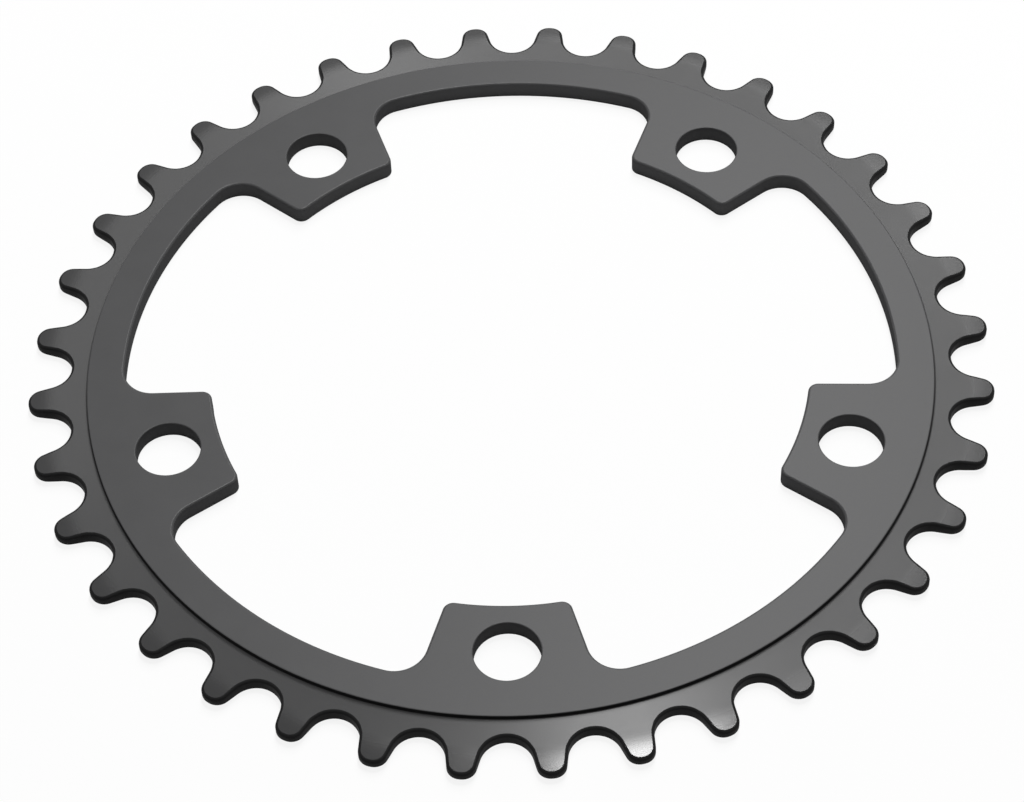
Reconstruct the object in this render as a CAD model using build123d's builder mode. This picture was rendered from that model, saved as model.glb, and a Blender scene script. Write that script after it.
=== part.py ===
"""Bicycle chainring: a thirty-six tooth ring for half-inch chain, held by five bolts.

One piece, machined from aluminium plate.  A turned section gives the plate, the
thinner tooth band and the bevelled tips.  A plan outline gives the teeth, the
opening with its five tabs, and the bolt holes.  The ring lies flat: +Z is its
axis, the origin is at the centre of the back face, and one tab points along -Y.
"""

import os
from math import acos, atan2, cos, pi, radians, sin, sqrt, tan

from build123d import *

# Chain and teeth, in millimetres
TEETH = 36
CHAIN_PITCH = 12.7
ROLLER_DIAMETER = 7.75
SEAT_CLEARANCE = 0.04  # seat radius over the roller's
TIP_HEIGHT = 2.6  # tip circle above the pitch circle
TIP_WIDTH = 3.7  # before the corners are rounded
TIP_ROUND = 2.05  # held to what the tip's width leaves room for
TOOTH_THICKNESS = 2.0
TIP_THICKNESS = 1.4
BEVEL_HEIGHT = 3.5  # radial height of the bevel on each side of a tip

# Plate and its turned step
PLATE_THICKNESS = 3.0
BAND_WIDTH = 2.8  # thin band between the step and the roots
RIM_WIDTH = 5.7  # full-thickness rim between the opening and the step

# Bolts and tabs
BOLTS = 5
BOLT_CIRCLE = 110.0
BOLT_HOLE = 10.0
END_WALL = 3.2  # metal between a hole and the tab's end
SIDE_WALL = 6.85  # metal beside a hole, measured across the tab
TAB_TAPER = 16.8  # degrees on each side, narrowing inwards
TAB_CORNER = 1.6
TAB_ROOT = 4.8

# Placing and finish
FIRST_TAB = -90.0  # degrees; a tooth gap is centred on this tab too
EDGE_BREAK = 0.25

# Worked out from the sizes above
half_pitch = pi / TEETH
pitch_radius = CHAIN_PITCH / 2 / sin(half_pitch)
root_radius = pitch_radius - ROLLER_DIAMETER / 2
seat_radius = ROLLER_DIAMETER / 2 + SEAT_CLEARANCE
tip_radius = pitch_radius + TIP_HEIGHT
step_radius = root_radius - BAND_WIDTH
opening_radius = step_radius - RIM_WIDTH
bolt_radius = BOLT_CIRCLE / 2
tab_end_radius = bolt_radius - BOLT_HOLE / 2 - END_WALL
tab_half = BOLT_HOLE / 2 + SIDE_WALL
step_depth = (PLATE_THICKNESS - TOOTH_THICKNESS) / 2
bevel_depth = (TOOTH_THICKNESS - TIP_THICKNESS) / 2


def tab_side(distance):
    """Point on a tab's side line, at a distance along the tab from the ring's axis."""
    return distance, tab_half + (distance - bolt_radius) * tan(radians(TAB_TAPER))


def at_radius(radius):
    """Test that picks the vertices at one distance from the ring's axis."""
    return lambda vertex: abs(Vector(vertex).length - radius) < 1e-4


# One tooth gap, centred on X: a round seat for the roller and two straight flanks
# that leave the seat on its tangent and pass through the corners of the tips
seat_centre = Vector(root_radius + seat_radius, 0)
tip_corner = Vector(tip_radius, -TIP_WIDTH / 2).rotate(Axis.Z, 180 / TEETH)
reach = tip_corner - seat_centre
tangent = atan2(reach.Y, reach.X) + acos(seat_radius / reach.length)
flank_foot = seat_centre + Vector(cos(tangent), sin(tangent)) * seat_radius
flank_head = flank_foot + (tip_corner - flank_foot) * 2
tip_middle = Vector(tip_radius, 0).rotate(Axis.Z, 180 / TEETH)
corner_angle = (flank_foot - tip_corner).get_angle(tip_middle - tip_corner)
tip_room = TIP_WIDTH / 2 * tan(radians(corner_angle / 2))
with BuildSketch() as gap:
    with BuildLine():
        Line(flank_foot, flank_head)
        ThreePointArc(flank_foot, (root_radius, 0), (flank_foot.X, -flank_foot.Y))
        Line((flank_foot.X, -flank_foot.Y), (flank_head.X, -flank_head.Y))
        Line((flank_head.X, -flank_head.Y), flank_head)
    make_face()

# One tab, along X: tapered sides that run from inside its end out into the rim
tab_foot = sqrt(tab_end_radius**2 - tab_half**2)
with BuildSketch() as tab:
    with BuildLine():
        side = Line(tab_side(tab_foot), tab_side(opening_radius))
        other_side = mirror(side, about=Plane.XZ)
        Line(side @ 0, other_side @ 0)
        Line(side @ 1, other_side @ 1)
    make_face()

# The opening: a circle with the tabs left standing in it, their ends on one bore
with BuildSketch() as opening:
    Circle(opening_radius)
    with PolarLocations(0, BOLTS, start_angle=FIRST_TAB):
        add(tab.sketch, mode=Mode.SUBTRACT)
    Circle(tab_end_radius)
    fillet(opening.vertices().filter_by(at_radius(tab_end_radius)), TAB_CORNER)
    fillet(opening.vertices().filter_by(at_radius(opening_radius)), TAB_ROOT)

# The plan outline: a toothed disc with rounded tips, less the opening and the holes
with BuildSketch() as plan:
    Circle(tip_radius)
    with PolarLocations(0, TEETH, start_angle=FIRST_TAB):
        add(gap.sketch, mode=Mode.SUBTRACT)
    fillet(plan.vertices().filter_by(at_radius(tip_radius)), min(TIP_ROUND, 0.95 * tip_room))
    add(opening.sketch, mode=Mode.SUBTRACT)
    with PolarLocations(bolt_radius, BOLTS, start_angle=FIRST_TAB):
        Circle(BOLT_HOLE / 2, mode=Mode.SUBTRACT)

# The turned section, with the radius along X, cut to the plan outline
with BuildPart() as chainring:
    add(plan.sketch)
    extrude(amount=PLATE_THICKNESS)
    with BuildSketch(Plane.XZ):
        with BuildLine():
            front = Polyline(
                (0, PLATE_THICKNESS),
                (step_radius, PLATE_THICKNESS),
                (step_radius, PLATE_THICKNESS - step_depth),
                (tip_radius - BEVEL_HEIGHT, PLATE_THICKNESS - step_depth),
                (tip_radius, PLATE_THICKNESS - step_depth - bevel_depth),
            )
            back = mirror(front, about=Plane.XZ.offset(-PLATE_THICKNESS / 2))
            Line((0, 0), (0, PLATE_THICKNESS))
            Line(front @ 1, back @ 1)
        make_face()
    revolve(axis=Axis.Z, mode=Mode.INTERSECT)
    for face in chainring.faces().filter_by(Plane.XY).group_by(SortBy.AREA)[-1]:
        chamfer(face.edges(), EDGE_BREAK)

os.makedirs("parts", exist_ok=True)
chainring.part.label = "chainring"
export_step(chainring.part, "parts/chainring.step")
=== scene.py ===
"""Studio scene of a bicycle chainring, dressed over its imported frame.

The ring is drawn as flat outlines, raised to its turned section on both sides, rounded
along its edges, and finished in dark satin anodising.
"""

import cmath
import logging
import math
from dataclasses import dataclass, field
from enum import Enum
from typing import Callable, Iterable, Union

import bmesh
import bpy
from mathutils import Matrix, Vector


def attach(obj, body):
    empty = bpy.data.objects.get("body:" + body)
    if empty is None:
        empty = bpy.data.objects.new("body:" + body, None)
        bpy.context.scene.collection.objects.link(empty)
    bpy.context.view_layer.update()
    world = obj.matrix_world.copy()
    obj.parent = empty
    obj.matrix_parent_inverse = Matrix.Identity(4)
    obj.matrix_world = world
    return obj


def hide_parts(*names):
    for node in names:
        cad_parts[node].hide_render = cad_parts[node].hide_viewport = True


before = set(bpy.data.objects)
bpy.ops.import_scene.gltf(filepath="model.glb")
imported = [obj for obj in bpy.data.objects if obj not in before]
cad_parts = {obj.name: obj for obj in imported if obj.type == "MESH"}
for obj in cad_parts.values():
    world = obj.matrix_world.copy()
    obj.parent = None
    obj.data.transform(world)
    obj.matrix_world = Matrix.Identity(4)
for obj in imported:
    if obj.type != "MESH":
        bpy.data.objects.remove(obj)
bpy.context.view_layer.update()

log = logging.getLogger("chainring")

PHOTO_WIDTH = 1024

# One millimetre, and how near points are that weld into one, in metres
MM = 0.001
WELD = 2e-6

# Play in millimetres when picking what lies on a radius or at a height
SLACK = 0.01

# Upright part of a face's normal: at most this on a wall and on a steep face, and at
# least this on a side of the ring and on a side with its bevels
WALL_TILT = 0.3
STEEP_TILT = 0.6
SIDE_TILT = 0.9
FLAT_TILT = 0.985

# A bevel's profile that is part of a circle, the middle of a noise, and the blue of the
# anodising against its grey
CIRCULAR = 0.5
NOISE_MIDDLE = 0.5
COOL = 1.02

Term = Union["Value", int, float]
EdgeTest = Callable[[bmesh.types.BMEdge], bool]
FaceTest = Callable[[bmesh.types.BMFace], bool]


class Surface(Enum):
    """The finishes on the ring, by the number of their material slot."""

    SATIN = 0
    TURNED = 1
    # The cut finish, made near-black in part as painted shade on walls and roundings
    CUT = 2
    WALL = 3


# Shader graphs


class Value:
    """A shader socket that takes part in Python arithmetic."""

    def __init__(self, graph: "Graph", socket: bpy.types.NodeSocket) -> None:
        """Wrap a socket.

        Args:
            graph: The graph that new Math nodes go into.
            socket: The output socket that holds the value.
        """
        self.graph = graph
        self.socket = socket

    def _math(self, operation: str, *terms: Term) -> "Value":
        """Add a Math node.

        Args:
            operation: The Math node's operation.
            terms: Its inputs, in order.

        Returns:
            The node's result.
        """
        node = self.graph.node("ShaderNodeMath", {"operation": operation}, *terms)
        return Value(self.graph, node.outputs[0])

    def __add__(self, other: Term) -> "Value":
        """Return self + other."""
        return self._math("ADD", self, other)

    def __radd__(self, other: float) -> "Value":
        """Return other + self."""
        return self._math("ADD", other, self)

    def __sub__(self, other: Term) -> "Value":
        """Return self - other."""
        return self._math("SUBTRACT", self, other)

    def __rsub__(self, other: float) -> "Value":
        """Return other - self."""
        return self._math("SUBTRACT", other, self)

    def __mul__(self, other: Term) -> "Value":
        """Return self * other."""
        return self._math("MULTIPLY", self, other)

    def __rmul__(self, other: float) -> "Value":
        """Return other * self."""
        return self._math("MULTIPLY", other, self)

    def root(self) -> "Value":
        """Return the square root."""
        return self._math("SQRT", self)

    def most(self, other: Term) -> "Value":
        """Return the larger of two values."""
        return self._math("MAXIMUM", self, other)

    def rise(self, low: float, high: float) -> "Value":
        """Return a smooth step.

        Args:
            low: Where the step leaves 0.
            high: Where it reaches 1.

        Returns:
            The value mapped to 0..1.
        """
        node = self.graph.node(
            "ShaderNodeMapRange",
            {"interpolation_type": "SMOOTHSTEP", "clamp": True},
            **{"Value": self, "From Min": low, "From Max": high},
        )
        return Value(self.graph, node.outputs[0])


@dataclass(frozen=True)
class Grain:
    """A noise pattern: its size in metres, and how many finer layers it has, how strong."""

    size: float
    layers: float = 3.0
    strength: float = 0.5


class Graph:
    """A node tree that is written from code."""

    def __init__(self, tree: bpy.types.NodeTree) -> None:
        """Clear a tree and take it over.

        Args:
            tree: The material's or world's node tree.
        """
        self.tree = tree
        tree.nodes.clear()

    def node(
        self,
        kind: str,
        settings: dict[str, object] | None = None,
        *inputs: object,
        **sockets: object,
    ) -> bpy.types.Node:
        """Add a node, set it and feed it.

        Args:
            kind: The node's type name.
            settings: Its properties, set before its sockets.
            inputs: Values or links for its first sockets, in order.
            sockets: Values or links for its sockets, by name.

        Returns:
            The new node.
        """
        made = self.tree.nodes.new(kind)
        for name, value in (settings or {}).items():
            setattr(made, name, value)
        fed = [(made.inputs[i], value) for i, value in enumerate(inputs)]
        fed += [(made.inputs[name], value) for name, value in sockets.items()]
        for socket, value in fed:
            if isinstance(value, Value):
                value = value.socket
            if isinstance(value, bpy.types.NodeSocket):
                self.tree.links.new(value, socket)
            else:
                socket.default_value = value
        return made

    def value(
        self,
        kind: str,
        output: str,
        settings: dict[str, object] | None = None,
        **sockets: object,
    ) -> Value:
        """Add a node and return one of its outputs as a value.

        Args:
            kind: The node's type name.
            output: The output's name.
            settings: The node's properties.
            sockets: Values or links for its sockets, by name.

        Returns:
            The wrapped output.
        """
        return Value(self, self.node(kind, settings, **sockets).outputs[output])

    def noise(self, grain: Grain, **where: object) -> Value:
        """Add a noise pattern.

        Args:
            grain: The pattern.
            where: Its coordinates, as Vector for a cloud or as W for rings.

        Returns:
            The noise, about 0.
        """
        pattern = self.value(
            "ShaderNodeTexNoise",
            "Fac",
            {"noise_dimensions": "1D" if "W" in where else "3D"},
            Scale=1.0 / grain.size,
            Detail=grain.layers,
            Roughness=grain.strength,
            **where,
        )
        return pattern - NOISE_MIDDLE


def grey(level: float) -> tuple[float, float, float, float]:
    """Return a neutral colour."""
    return (level, level, level, 1.0)


# Drawing with edit-mode operators


def select_only(*objects: bpy.types.Object) -> None:
    """Select some objects and nothing else, the first of them active."""
    bpy.ops.object.select_all(action="DESELECT")
    for thing in objects:
        thing.select_set(True)
    bpy.context.view_layer.objects.active = objects[0]


def edit(thing: bpy.types.Object) -> bmesh.types.BMesh:
    """Enter edit mode on one object with nothing selected in it.

    Args:
        thing: The object.

    Returns:
        Its edit mesh, to select in.
    """
    select_only(thing)
    bpy.ops.object.mode_set(mode="EDIT")
    bpy.ops.mesh.select_mode(type="VERT")
    bpy.ops.mesh.select_all(action="DESELECT")
    return bmesh.from_edit_mesh(thing.data)


def leave_edit() -> None:
    """Return to object mode."""
    bpy.ops.object.mode_set(mode="OBJECT")


class Outline:
    """A flat outline, drawn one line or arc after another."""

    def __init__(self, name: str, start: complex) -> None:
        """Begin an outline at a point.

        Args:
            name: The object's name.
            start: The first point, in metres, as x + yj.
        """
        bpy.ops.object.select_all(action="DESELECT")
        bpy.ops.mesh.primitive_plane_add(size=MM, location=(0, 0, 0))
        self.thing = bpy.context.object
        self.thing.name = name
        self.here = start
        bpy.ops.object.mode_set(mode="EDIT")
        bpy.ops.mesh.select_mode(type="VERT")
        bpy.ops.mesh.select_all(action="SELECT")
        bpy.ops.mesh.merge(type="CENTER")
        bpy.ops.transform.translate(value=(start.real, start.imag, 0))

    def line(self, end: complex) -> "Outline":
        """Draw a straight line to a point."""
        step = end - self.here
        bpy.ops.mesh.extrude_vertices_move(
            TRANSFORM_OT_translate={"value": (step.real, step.imag, 0)}
        )
        self.here = end
        return self

    def arc(self, centre: complex, end: complex, steps: int) -> "Outline":
        """Draw the shorter arc about a centre to a point.

        Args:
            centre: The arc's centre.
            end: The arc's last point.
            steps: The number of straight steps that it is made of.

        Returns:
            The outline.
        """
        turn = cmath.phase((end - centre) / (self.here - centre))
        bpy.ops.mesh.spin(
            steps=steps, angle=-turn, center=(centre.real, centre.imag, 0), axis=(0, 0, 1)
        )
        self.here = end
        return self

    def face(self) -> bpy.types.Object:
        """Close the outline with one face.

        Returns:
            The object that holds it.
        """
        bpy.ops.mesh.select_all(action="SELECT")
        bpy.ops.mesh.remove_doubles(threshold=WELD)
        bpy.ops.mesh.select_all(action="SELECT")
        bpy.ops.mesh.edge_face_add()
        leave_edit()
        return self.thing


def heading(degrees: float) -> complex:
    """Return the unit step in a direction."""
    return complex(math.cos(math.radians(degrees)), math.sin(math.radians(degrees)))


# The ring


@dataclass(frozen=True)
class ToothForm:
    """Sizes of the chain teeth, in millimetres."""

    count: int = 36
    pitch: float = 12.7
    roller: float = 7.75
    seat_clearance: float = 0.04
    tip_height: float = 2.6
    tip_width: float = 3.7
    tip_round: float = 2.05
    thickness: float = 2.0
    tip_thickness: float = 1.4
    bevel_height: float = 3.5
    bevel_roll: float = 1.1

    @property
    def pitch_radius(self) -> float:
        """Radius of the circle that the chain's rollers sit on."""
        return self.pitch / 2 / math.sin(math.pi / self.count)

    @property
    def root_radius(self) -> float:
        """Radius at the bottom of the tooth gaps."""
        return self.pitch_radius - self.roller / 2

    @property
    def seat_radius(self) -> float:
        """Radius of the round seat in each gap."""
        return self.roller / 2 + self.seat_clearance

    @property
    def tip_radius(self) -> float:
        """Radius of the circle over the tips."""
        return self.pitch_radius + self.tip_height

    @property
    def crease_radius(self) -> float:
        """Radius at which the tip bevels start."""
        return self.tip_radius - self.bevel_height

    def bevel_fall(self, radius: float) -> float:
        """Find how far a tooth's side has fallen away at a radius.

        Args:
            radius: The distance from the ring's axis.

        Returns:
            The fall below the flat side: none inside the crease, then a short roll
            into an even bevel.
        """
        slope = (self.thickness - self.tip_thickness) / 2 / self.bevel_height
        beyond = radius - self.crease_radius
        if beyond >= self.bevel_roll:
            return slope * beyond
        return slope * max(0.0, beyond + self.bevel_roll) ** 2 / (4 * self.bevel_roll)


@dataclass(frozen=True)
class TabForm:
    """Sizes of the bolt tabs, in millimetres."""

    count: int = 5
    bolt_circle: float = 110.0
    bolt_hole: float = 10.0
    end_wall: float = 3.2
    side_wall: float = 6.85
    taper: float = 16.8
    corner: float = 1.6
    root: float = 4.8

    @property
    def bolt_radius(self) -> float:
        """Distance from the axis to each hole's centre."""
        return self.bolt_circle / 2

    @property
    def end_radius(self) -> float:
        """Radius of the bore that the tabs end on."""
        return self.bolt_radius - self.bolt_hole / 2 - self.end_wall


@dataclass
class Chainring:
    """The one machined piece: toothed band, plate rim and five bolt tabs.

    Sizes are in millimetres, angles in degrees.
    """

    teeth: ToothForm = field(default_factory=ToothForm)
    tabs: TabForm = field(default_factory=TabForm)
    plate_thickness: float = 3.0
    band_width: float = 2.8
    rim_width: float = 5.7
    front_step: float = 0.75
    plate_edge: float = 0.4
    hole_edge: float = 0.2
    step_edge: float = 0.22
    step_foot: float = 0.3
    tooth_edge: float = 0.45
    back_edge: float = 0.2
    first_tab: float = -90.0
    seat_steps: int = 14
    round_steps: int = 8
    edge_steps: int = 4
    roll_cuts: int = 5
    smooth_angle: float = 50.0
    normal_weight: int = 90
    thing: bpy.types.Object | None = None

    @property
    def step_radius(self) -> float:
        """Radius of the turned step between band and plate."""
        return self.teeth.root_radius - self.band_width

    @property
    def back_step(self) -> float:
        """Height of the plate over the tooth band at the back."""
        return self.plate_thickness - self.teeth.thickness - self.front_step

    @property
    def opening_radius(self) -> float:
        """Radius of the opening between the tabs."""
        return self.step_radius - self.rim_width

    def build(self) -> bpy.types.Object:
        """Model the ring.

        Returns:
            The finished mesh object, at the origin.
        """
        tooth = self._tooth()
        self._repeat(tooth, self.teeth.count)
        tab = self._tab()
        self._repeat(tab, self.tabs.count)
        select_only(tooth, tab)
        bpy.ops.object.join()
        self.thing = tooth
        self.thing.name = "ring_body"
        self.thing.data.name = "ring_body"
        self._weld()
        self._raise_section()
        self._break_edges()
        self._set_down()
        self._shade()
        return self.thing

    def _tooth(self) -> bpy.types.Object:
        """Draw one tooth from gap to gap, between 0 degrees and one pitch angle.

        Returns:
            A flat object with the tooth's foot and its tip as two faces.
        """
        form = self.teeth
        pitch_angle = 360.0 / form.count
        middle = heading(pitch_angle / 2)
        root = form.root_radius * MM
        seat = form.seat_radius * MM
        tip = form.tip_radius * MM
        rounding = form.tip_round * MM

        seat_centre = complex(root + seat, 0)
        corner = complex(tip, -form.tip_width * MM / 2) * middle
        reach = corner - seat_centre
        opening = math.acos(seat / abs(reach))
        foot = seat_centre + seat * reach / abs(reach) * cmath.rect(1.0, opening)
        along = (corner - foot) / abs(corner - foot)
        inward = along * 1j

        # Centre of the tip's rounding: inside the flank and inside the tip circle
        centre = self._on_circle(foot + inward * rounding, along, tip - rounding)
        flank_end = centre - inward * rounding
        tip_start = centre / abs(centre) * tip

        def other(point: complex) -> complex:
            """Return the point across the tooth's middle line."""
            return (point / middle).conjugate() * middle

        step = self.step_radius * MM
        outline = Outline("tooth", complex(root, 0))
        outline.arc(seat_centre, foot, self.seat_steps)
        outline.line(flank_end)
        outline.arc(centre, tip_start, self.round_steps)
        outline.arc(0, other(tip_start), self.round_steps // 2)
        outline.arc(other(centre), other(flank_end), self.round_steps)
        outline.line(other(foot))
        outline.arc(other(seat_centre), other(complex(root, 0)), self.seat_steps)
        outline.line(step * heading(pitch_angle))
        outline.arc(0, complex(step, 0), round(pitch_angle))
        thing = outline.face()

        # Cuts across the tooth where its side rolls into the tip bevel
        edit(thing)
        for part in range(-self.roll_cuts, self.roll_cuts + 1):
            bpy.ops.mesh.select_all(action="SELECT")
            radius = form.crease_radius + part / self.roll_cuts * form.bevel_roll
            cut = radius * MM * middle
            bpy.ops.mesh.bisect(
                plane_co=(cut.real, cut.imag, 0), plane_no=(middle.real, middle.imag, 0)
            )
        leave_edit()
        return thing

    def _tab(self) -> bpy.types.Object:
        """Draw one tab with its share of the rim, and mirror it about its middle.

        Returns:
            A flat object with the two halves as two faces.
        """
        form = self.tabs
        half_angle = 180.0 / form.count
        end = form.end_radius * MM
        opening = self.opening_radius * MM
        step = self.step_radius * MM
        bolt = form.bolt_radius * MM
        hole = form.bolt_hole * MM / 2
        corner = form.corner * MM
        root = form.root * MM

        # The side line, and the centres of the roundings at its two ends
        along = heading(form.taper)
        outward = along * 1j
        on_side = complex(bolt, (form.bolt_hole / 2 + form.side_wall) * MM)
        corner_centre = self._on_circle(on_side - outward * corner, along, end + corner)
        root_centre = self._on_circle(on_side + outward * root, along, opening - root)

        outline = Outline("tab", complex(end, 0))
        outline.arc(0, corner_centre / abs(corner_centre) * end, self.round_steps)
        outline.arc(corner_centre, corner_centre + outward * corner, self.round_steps)
        outline.line(root_centre - outward * root)
        outline.arc(root_centre, root_centre / abs(root_centre) * opening, self.seat_steps)
        outline.arc(0, opening * heading(half_angle), self.seat_steps)
        outline.line(step * heading(half_angle))
        outline.arc(0, complex(step, 0), round(half_angle))
        outline.line(complex(bolt + hole, 0))
        outline.arc(bolt, complex(bolt, hole), self.seat_steps)
        outline.arc(bolt, complex(bolt - hole, 0), self.seat_steps)
        outline.line(complex(end, 0))
        thing = outline.face()
        self._apply(thing, "MIRROR", use_axis=(False, True, False), merge_threshold=WELD)
        return thing

    @staticmethod
    def _on_circle(start: complex, along: complex, radius: float) -> complex:
        """Find where a line leaves a circle about the axis.

        Args:
            start: A point on the line.
            along: The line's direction.
            radius: The circle's radius.

        Returns:
            The crossing that lies further along the line.
        """
        half = (start * along.conjugate()).real
        rest = abs(start) ** 2 - radius**2
        return start + along * (-half + math.sqrt(half**2 - rest))

    @staticmethod
    def _apply(thing: bpy.types.Object, kind: str, **settings: object) -> None:
        """Add a modifier to an object, set it and apply it.

        Args:
            thing: The object.
            kind: The modifier's type.
            settings: The modifier's properties.
        """
        select_only(thing)
        modifier = thing.modifiers.new(kind.lower(), kind)
        for name, value in settings.items():
            setattr(modifier, name, value)
        bpy.ops.object.modifier_apply(modifier=modifier.name)

    @staticmethod
    def _repeat(thing: bpy.types.Object, count: int) -> None:
        """Copy a mesh around the axis.

        Args:
            thing: The object that holds the first one.
            count: How many there are in a full turn.
        """
        edit(thing)
        bpy.ops.mesh.select_all(action="SELECT")
        bpy.ops.mesh.spin(
            steps=count - 1, dupli=True, angle=math.tau * (count - 1) / count,
            center=(0, 0, 0), axis=(0, 0, 1),
        )
        leave_edit()

    def _weld(self) -> None:
        """Join the copies along their shared lines and turn every face to the front."""
        edit(self.thing)
        bpy.ops.mesh.select_all(action="SELECT")
        bpy.ops.mesh.remove_doubles(threshold=WELD)
        bpy.ops.mesh.select_all(action="SELECT")
        bpy.ops.mesh.normals_make_consistent(inside=False)
        mesh = bmesh.from_edit_mesh(self.thing.data)
        if sum(face.normal.z for face in mesh.faces) < 0:
            bpy.ops.mesh.flip_normals()
        leave_edit()

    def _raise_section(self) -> None:
        """Thicken the outlines to the tooth band, and raise the plate out of its two sides."""
        half = self.teeth.thickness / 2 * MM
        inside = (self.step_radius + SLACK) * MM
        edit(self.thing)
        bpy.ops.mesh.select_all(action="SELECT")
        bpy.ops.mesh.extrude_region_move(TRANSFORM_OT_translate={"value": (0, 0, 2 * half)})
        bpy.ops.mesh.select_all(action="SELECT")
        bpy.ops.transform.translate(value=(0, 0, -half))
        bpy.ops.mesh.normals_make_consistent(inside=False)
        for side, height in ((1, self.front_step), (-1, self.back_step)):
            self._select_faces(
                lambda face: side * face.normal.z > SIDE_TILT
                and all(v.co.xy.length < inside for v in face.verts)
            )
            bpy.ops.mesh.extrude_region_move(
                TRANSFORM_OT_translate={"value": (0, 0, side * height * MM)}
            )

        # The tips fall away outside the crease
        mesh = bmesh.from_edit_mesh(self.thing.data)
        for vertex in mesh.verts:
            fall = self.teeth.bevel_fall(vertex.co.xy.length / MM) * MM
            vertex.co.z -= math.copysign(fall, vertex.co.z)
        bmesh.update_edit_mesh(self.thing.data)
        leave_edit()

    def _select_faces(self, test: FaceTest) -> None:
        """Select the faces that pass a test, in edit mode.

        Args:
            test: Says whether a face is wanted.
        """
        bpy.ops.mesh.select_all(action="DESELECT")
        bpy.ops.mesh.select_mode(type="FACE")
        mesh = bmesh.from_edit_mesh(self.thing.data)
        for face in mesh.faces:
            if test(face):
                face.select_set(True)
        bmesh.update_edit_mesh(self.thing.data)

    def _select_edges(self, test: EdgeTest) -> None:
        """Select the edges that pass a test, in edit mode.

        Args:
            test: Says whether an edge is wanted.
        """
        bpy.ops.mesh.select_all(action="DESELECT")
        bpy.ops.mesh.select_mode(type="EDGE")
        mesh = bmesh.from_edit_mesh(self.thing.data)
        mesh.normal_update()
        for edge in mesh.edges:
            if test(edge):
                edge.select_set(True)
        bmesh.update_edit_mesh(self.thing.data)

    def _break_edges(self) -> None:
        """Round the edges of step, holes, plate and teeth, more at the front than at the back."""
        step = self.step_radius * MM
        half = self.teeth.thickness / 2 * MM
        slack = SLACK * MM

        def sharp(edge: bmesh.types.BMEdge) -> bool:
            """Say whether a side of the ring meets a wall at the edge."""
            tilts = sorted(abs(face.normal.z) for face in edge.link_faces)
            return len(tilts) == 2 and tilts[0] < WALL_TILT and tilts[1] > SIDE_TILT

        def on_plate(edge: bmesh.types.BMEdge) -> bool:
            """Say whether the edge stands proud of the tooth band."""
            return sharp(edge) and abs(edge.verts[0].co.z) > half + slack

        def on_teeth(edge: bmesh.types.BMEdge) -> bool:
            """Say whether the edge runs along the teeth."""
            return sharp(edge) and min(v.co.xy.length for v in edge.verts) > step + slack

        def at_front(edge: bmesh.types.BMEdge) -> bool:
            """Say whether the edge is at the front."""
            return edge.verts[0].co.z > 0

        def on_step(edge: bmesh.types.BMEdge) -> bool:
            """Say whether the edge runs along the turned step."""
            return all(abs(v.co.xy.length - step) < slack for v in edge.verts)

        def at_foot(edge: bmesh.types.BMEdge) -> bool:
            """Say whether the edge is the foot of the step at the front."""
            return sharp(edge) and on_step(edge) and abs(edge.verts[0].co.z - half) < slack

        def on_hole(edge: bmesh.types.BMEdge) -> bool:
            """Say whether the edge runs round a bolt hole."""
            return self._in_hole(edge.verts)

        # An edge that has been rounded is no longer sharp, so the later calls pass it over
        edit(self.thing)
        self._round(self.step_foot, at_foot)
        self._round(self.step_edge, on_plate, on_step, at_front)
        self._round(self.hole_edge, on_plate, on_hole, at_front)
        self._round(self.plate_edge, on_plate, at_front)
        self._round(self.back_step / 2, on_plate, on_step)
        self._round(self.back_edge, on_plate)
        self._round(self.tooth_edge, on_teeth, at_front)
        self._round(self.back_edge, on_teeth)
        leave_edit()

    def _in_hole(self, vertices: Iterable[bmesh.types.BMVert]) -> bool:
        """Say whether vertices all lie on the wall of one bolt hole.

        Args:
            vertices: The vertices, with the first tab still along the X axis.

        Returns:
            Whether there is such a hole.
        """
        reach = (self.tabs.bolt_hole / 2 + SLACK) * MM
        points = [complex(*vertex.co.xy) for vertex in vertices]
        for i in range(self.tabs.count):
            bolt = self.tabs.bolt_radius * MM * heading(360.0 / self.tabs.count * i)
            if all(abs(point - bolt) < reach for point in points):
                return True
        return False

    def _round(self, radius: float, *tests: EdgeTest) -> None:
        """Round the edges that pass every test, in edit mode.

        Args:
            radius: The rounding, in millimetres.
            tests: Each says whether an edge is wanted.
        """
        self._select_edges(lambda edge: all(test(edge) for test in tests))
        bpy.ops.mesh.bevel(
            offset=radius * MM, segments=self.edge_steps, affect="EDGES",
            offset_type="OFFSET", profile=CIRCULAR, clamp_overlap=False,
        )

    def _set_down(self) -> None:
        """Clean the mesh up and set the ring down in its place."""
        edit(self.thing)
        bpy.ops.mesh.select_all(action="SELECT")
        bpy.ops.mesh.remove_doubles(threshold=WELD)
        bpy.ops.mesh.select_all(action="SELECT")
        bpy.ops.mesh.normals_make_consistent(inside=False)
        back = (self.teeth.thickness / 2 + self.back_step) * MM
        bpy.ops.transform.translate(value=(0, 0, back))
        leave_edit()
        select_only(self.thing)
        self.thing.rotation_euler.z = math.radians(self.first_tab)
        bpy.ops.object.transform_apply(location=True, rotation=True, scale=True)

    def _shade(self) -> None:
        """Shade the roundings smooth and keep the flats flat."""
        select_only(self.thing)
        bpy.ops.object.shade_smooth_by_angle(
            angle=math.radians(self.smooth_angle), keep_sharp_edges=True
        )
        self._apply(
            self.thing, "WEIGHTED_NORMAL",
            mode="FACE_AREA", keep_sharp=True, weight=self.normal_weight,
        )

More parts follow.
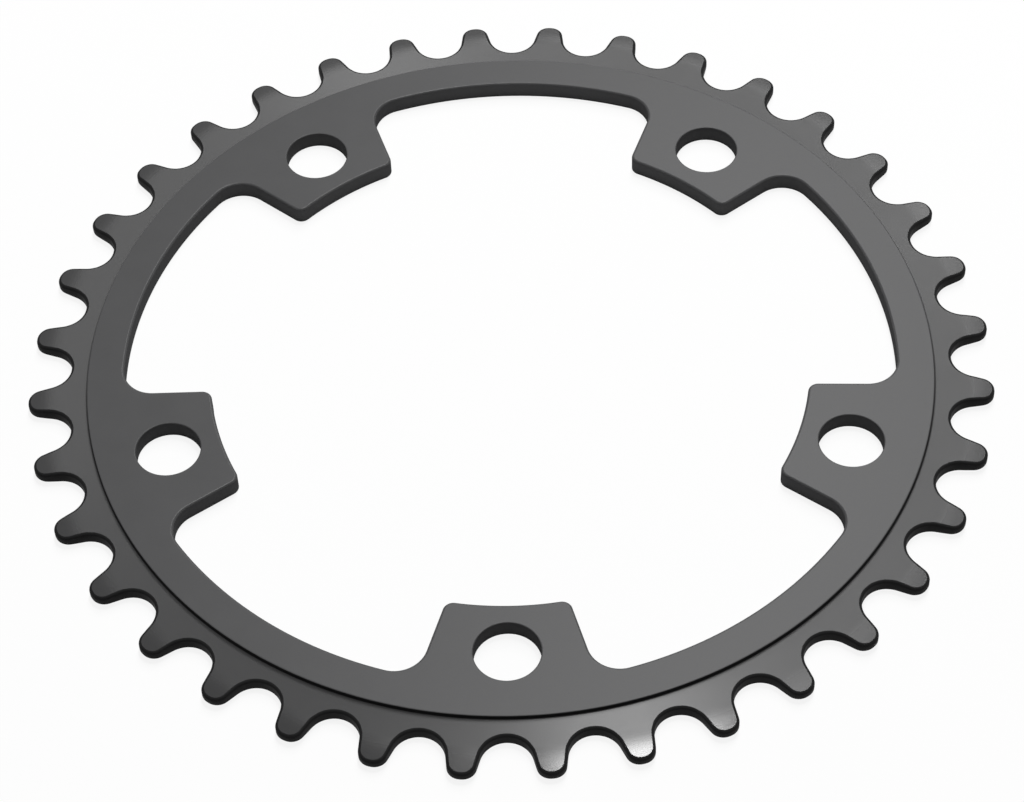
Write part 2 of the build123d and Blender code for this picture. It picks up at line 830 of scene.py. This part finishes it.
    def dress(
        self,
        satin: "SatinFinish",
        turned_finish: "TurnedFinish",
        cut: "SatinFinish",
        wall: "SatinFinish",
    ) -> None:
        """Give the ring its finishes and its place in the frame.

        Args:
            satin: The finish of the plate's two sides.
            turned_finish: The finish of the tooth band's two sides.
            cut: The near-black finish of the tooth flanks, the step and the roundings on the
                band: partly their own cut surface, partly painted shade for their dark walls and
                outlines.
            wall: The finish of the walls of the opening and of the bolt holes.
        """
        materials = {
            Surface.SATIN: satin.material(),
            Surface.CUT: cut.material(),
            Surface.WALL: wall.material(),
            Surface.TURNED: turned_finish.material(
                (self.teeth.crease_radius - self.teeth.bevel_roll) * MM,
                (self.teeth.tip_radius - self.teeth.bevel_roll) * MM,
            ),
        }
        self.thing.data.materials.clear()
        for surface in Surface:
            self.thing.data.materials.append(materials[surface])
        step = (self.step_radius - SLACK) * MM
        rim = (self.step_radius - self.step_edge - SLACK) * MM
        foot = (self.step_radius + self.step_foot + SLACK) * MM

        def on_band(face: bmesh.types.BMFace) -> bool:
            """Say whether a face lies on the tooth band."""
            return all(v.co.xy.length > step for v in face.verts)

        def on_step(face: bmesh.types.BMFace) -> bool:
            """Say whether a face is part of the turned step."""
            return all(rim < v.co.xy.length < foot for v in face.verts)

        def steep(face: bmesh.types.BMFace) -> bool:
            """Say whether a face stands nearer to upright than to flat."""
            return abs(face.normal.z) < STEEP_TILT

        def flat(face: bmesh.types.BMFace) -> bool:
            """Say whether a face is one of the ring's sides or a bevel on it."""
            return abs(face.normal.z) > FLAT_TILT

        edit(self.thing)
        self._assign(Surface.TURNED, on_band)
        self._assign(Surface.WALL, lambda face: steep(face) and not on_band(face))
        # Flanks, step and band roundings get the near-black cut finish, partly painted shade for
        # their dark walls and outlines
        self._assign(
            Surface.CUT,
            lambda face: steep(face) and on_step(face)
            or on_band(face) and not flat(face) and not on_step(face),
        )
        leave_edit()
        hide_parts("chainring")
        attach(self.thing, "root")

    def _assign(self, surface: Surface, test: FaceTest) -> None:
        """Give a finish to the faces that pass a test, in edit mode.

        Args:
            surface: The finish.
            test: Says whether a face takes it.
        """
        self._select_faces(test)
        self.thing.active_material_index = surface.value
        bpy.ops.object.material_slot_assign()


@dataclass(frozen=True)
class SatinFinish:
    """Dark anodising over a fine blasted or freshly cut surface; its near-black cut copy also
    carries painted shade.
    """

    name: str = "blasted_anodising"
    colour: float = 0.07
    mottle: float = 0.12
    speckle: float = 0.16
    satin: float = 0.32
    index: float = 1.22
    gloss: float = 0.5
    cloud: Grain = Grain(0.005)
    cloud_gloss: float = 0.04
    grain: Grain = Grain(0.00016, layers=2.0, strength=0.6)
    grain_height: float = 0.000003

    def material(self) -> bpy.types.Material:
        """Build the finish.

        Returns:
            The material.
        """
        material = bpy.data.materials.new(self.name)
        material.use_nodes = True
        graph = Graph(material.node_tree)
        place = graph.node("ShaderNodeTexCoord").outputs["Object"]
        cloud = graph.noise(self.cloud, Vector=place)
        fine = graph.noise(self.grain, Vector=place)
        tone = (cloud * self.mottle + fine * self.speckle + 1.0) * self.colour
        colour = graph.node("ShaderNodeCombineColor", None, tone, tone, tone * COOL)
        height = fine * self.grain_height
        bump = graph.node("ShaderNodeBump", None, Strength=1.0, Distance=1.0, Height=height)
        shader = graph.node(
            "ShaderNodeBsdfPrincipled",
            None,
            **{
                "Base Color": colour.outputs[0],
                "Roughness": cloud * self.cloud_gloss + self.satin,
                "Normal": bump.outputs[0],
                "Metallic": 0.0,
                "IOR": self.index,
                "Specular IOR Level": self.gloss,
            },
        )
        graph.node("ShaderNodeOutputMaterial", None, Surface=shader.outputs[0])
        return material


@dataclass(frozen=True)
class TurnedFinish:
    """Dark anodising over fine turning marks, which run round the axis."""

    colour: float = 0.030
    mottle: float = 0.12
    turned_satin: float = 0.33
    bevel_satin: float = 0.17
    stretch: float = 0.96
    across: float = 0.25
    index: float = 1.36
    cloud: Grain = Grain(0.004)
    cloud_gloss: float = 0.04
    marks: Grain = Grain(0.00022, layers=2.0, strength=0.6)
    mark_tone: float = 0.10
    mark_gloss: float = 0.06

    def material(self, side_end: float, bevel_start: float) -> bpy.types.Material:
        """Build the finish.

        Args:
            side_end: Radius up to which a tooth's side has the band's gloss, in metres.
            bevel_start: Radius from which on the tip bevel has its own gloss, in metres.

        Returns:
            The material.
        """
        material = bpy.data.materials.new("turned_anodising")
        material.use_nodes = True
        graph = Graph(material.node_tree)
        place = graph.node("ShaderNodeTexCoord").outputs["Object"]
        split = graph.node("ShaderNodeSeparateXYZ", None, place)
        x, y = (Value(graph, split.outputs[i]) for i in range(2))
        radius = (x * x + y * y).root()
        bevel = radius.rise(side_end, bevel_start)

        cloud = graph.noise(self.cloud, Vector=place)
        marks = graph.noise(self.marks, W=radius)
        tone = (cloud * self.mottle + marks * self.mark_tone + 1.0) * self.colour
        colour = graph.node("ShaderNodeCombineColor", None, tone, tone, tone * COOL)
        satin = (self.bevel_satin - self.turned_satin) * bevel + self.turned_satin
        shader = graph.node(
            "ShaderNodeBsdfPrincipled",
            None,
            **{
                "Base Color": colour.outputs[0],
                "Roughness": satin + cloud * self.cloud_gloss + marks * self.mark_gloss,
                "Metallic": 0.0,
                "IOR": self.index,
                "Anisotropic": self.stretch,
                "Anisotropic Rotation": self.across,
            },
        )
        graph.node("ShaderNodeOutputMaterial", None, Surface=shader.outputs[0])
        return material


# The studio


@dataclass(frozen=True)
class SoftBox:
    """A rectangular studio lamp that points at the ring, in degrees and metres."""

    name: str
    azimuth: float
    elevation: float
    distance: float
    width: float
    height: float
    watts: float

    def place(self) -> bpy.types.Object:
        """Add the lamp.

        Returns:
            The lamp's object.
        """
        flat = heading(self.azimuth) * math.cos(math.radians(self.elevation))
        aim = Vector((flat.real, flat.imag, math.sin(math.radians(self.elevation))))
        bpy.ops.object.select_all(action="DESELECT")
        bpy.ops.object.light_add(type="AREA", location=aim * self.distance)
        lamp = bpy.context.object
        lamp.name = self.name
        lamp.rotation_euler = aim.to_track_quat("Z", "Y").to_euler()
        lamp.data.shape = "RECTANGLE"
        lamp.data.size = self.width
        lamp.data.size_y = self.height
        lamp.data.energy = self.watts
        return lamp


@dataclass(frozen=True)
class View:
    """The photograph's viewpoint, fitted to the ring's outline, in degrees and millimetres."""

    focal_pixels: float = 2970.65
    elevation: float = 51.1366
    azimuth: float = 2.3065
    roll: float = -2.5445
    distance: float = 459.7839
    aim: tuple[float, float, float] = (0.436, -8.4446, 3.0)
    sensor: float = 36.0
    near_clip: float = 10.0

    def place(self) -> bpy.types.Object:
        """Add the camera and make it the scene's own.

        Returns:
            The camera's object.
        """
        rise, swing, tilt = (math.radians(a) for a in (self.elevation, self.azimuth, self.roll))
        level = math.cos(rise)
        back = Vector((math.sin(swing) * level, -math.cos(swing) * level, math.sin(rise)))
        bpy.ops.object.camera_add(location=(Vector(self.aim) + back * self.distance) * MM)
        camera = bpy.context.object
        camera.name = "photo_view"
        turn = back.to_track_quat("Z", "Y").to_matrix().to_4x4()
        camera.rotation_euler = turn.to_euler()
        camera.rotation_euler.rotate_axis("Z", tilt)
        camera.data.sensor_width = self.sensor
        camera.data.lens = self.focal_pixels / PHOTO_WIDTH * self.sensor
        camera.data.clip_start = self.near_clip * MM
        bpy.context.scene.camera = camera
        return camera


@dataclass
class Studio:
    """A pale floor, two lamps above and behind the ring, and the camera.

    The floor's width is in metres, and its drop under the ring in millimetres.
    """

    floor_size: float = 8.0
    floor_drop: float = 0.02
    floor_grey: float = 0.92
    floor_bounce: float = 0.80
    floor_glow: float = 0.88
    ambient: float = 0.06
    boxes: tuple[SoftBox, ...] = (
        SoftBox(
            "overhead_key", azimuth=71.5, elevation=74.5, distance=1.2,
            width=0.17, height=0.20, watts=8.2,
        ),
        SoftBox(
            "back_box", azimuth=80.2, elevation=54.0, distance=1.2,
            width=0.36, height=0.59, watts=7.2,
        ),
    )
    view: View = field(default_factory=View)

    def build(self) -> None:
        """Set up the floor, the lamps, the world and the camera."""
        self._floor()
        for box in self.boxes:
            box.place()
        self._world()
        self.view.place()
        bpy.context.scene.view_settings.view_transform = "Standard"

    @staticmethod
    def _seen(graph: Graph) -> Value:
        """Return 1 where a surface is seen or mirrored, and 0 where it only lights others."""
        path = graph.node("ShaderNodeLightPath")
        camera, mirror, glass = (
            Value(graph, path.outputs[name])
            for name in ("Is Camera Ray", "Is Glossy Ray", "Is Transmission Ray")
        )
        return camera.most(mirror).most(glass)

    def _floor(self) -> None:
        """Lay the pale floor just under the ring's back."""
        bpy.ops.object.select_all(action="DESELECT")
        bpy.ops.mesh.primitive_plane_add(
            size=self.floor_size, location=(0, 0, -self.floor_drop * MM)
        )
        floor = bpy.context.object
        floor.name = "floor"
        material = bpy.data.materials.new("pale_floor")
        material.use_nodes = True
        graph = Graph(material.node_tree)
        seen = self._seen(graph)
        level = seen * (self.floor_grey - self.floor_bounce) + self.floor_bounce
        colour = graph.node("ShaderNodeCombineColor", None, level, level, level)
        matt = graph.node("ShaderNodeBsdfDiffuse", None, Color=colour.outputs[0])
        glow = graph.node("ShaderNodeEmission", None, Color=grey(1.0), Strength=1.0)
        shader = graph.node(
            "ShaderNodeMixShader", None, seen * self.floor_glow, matt.outputs[0], glow.outputs[0]
        )
        graph.node("ShaderNodeOutputMaterial", None, Surface=shader.outputs[0])
        floor.data.materials.append(material)

    def _world(self) -> None:
        """Fill the room with a little even light, white where it is seen or mirrored."""
        world = bpy.data.worlds.new("room")
        world.use_nodes = True
        bpy.context.scene.world = world
        graph = Graph(world.node_tree)
        strength = self._seen(graph) * (1.0 - self.ambient) + self.ambient
        sky = graph.node("ShaderNodeBackground", None, Color=grey(1.0), Strength=strength)
        graph.node("ShaderNodeOutputWorld", None, Surface=sky.outputs[0])


def main() -> None:
    """Build the ring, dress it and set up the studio."""
    logging.basicConfig(level=logging.INFO, format="%(name)s: %(message)s")
    ring = Chainring()
    piece = ring.build()
    # The near-black cut finish is partly painted shade on the flanks, the step and the roundings
    cut = SatinFinish(name="cut_anodising_and_painted_shade", colour=0.012, satin=0.6, index=1.15)
    wall = SatinFinish(name="milled_anodising", colour=0.09, satin=0.8, index=1.15, gloss=0.0)
    ring.dress(SatinFinish(), TurnedFinish(), cut, wall)
    log.info("%s: %d faces", piece.name, len(piece.data.polygons))
    Studio().build()


if __name__ == "__main__":
    main()
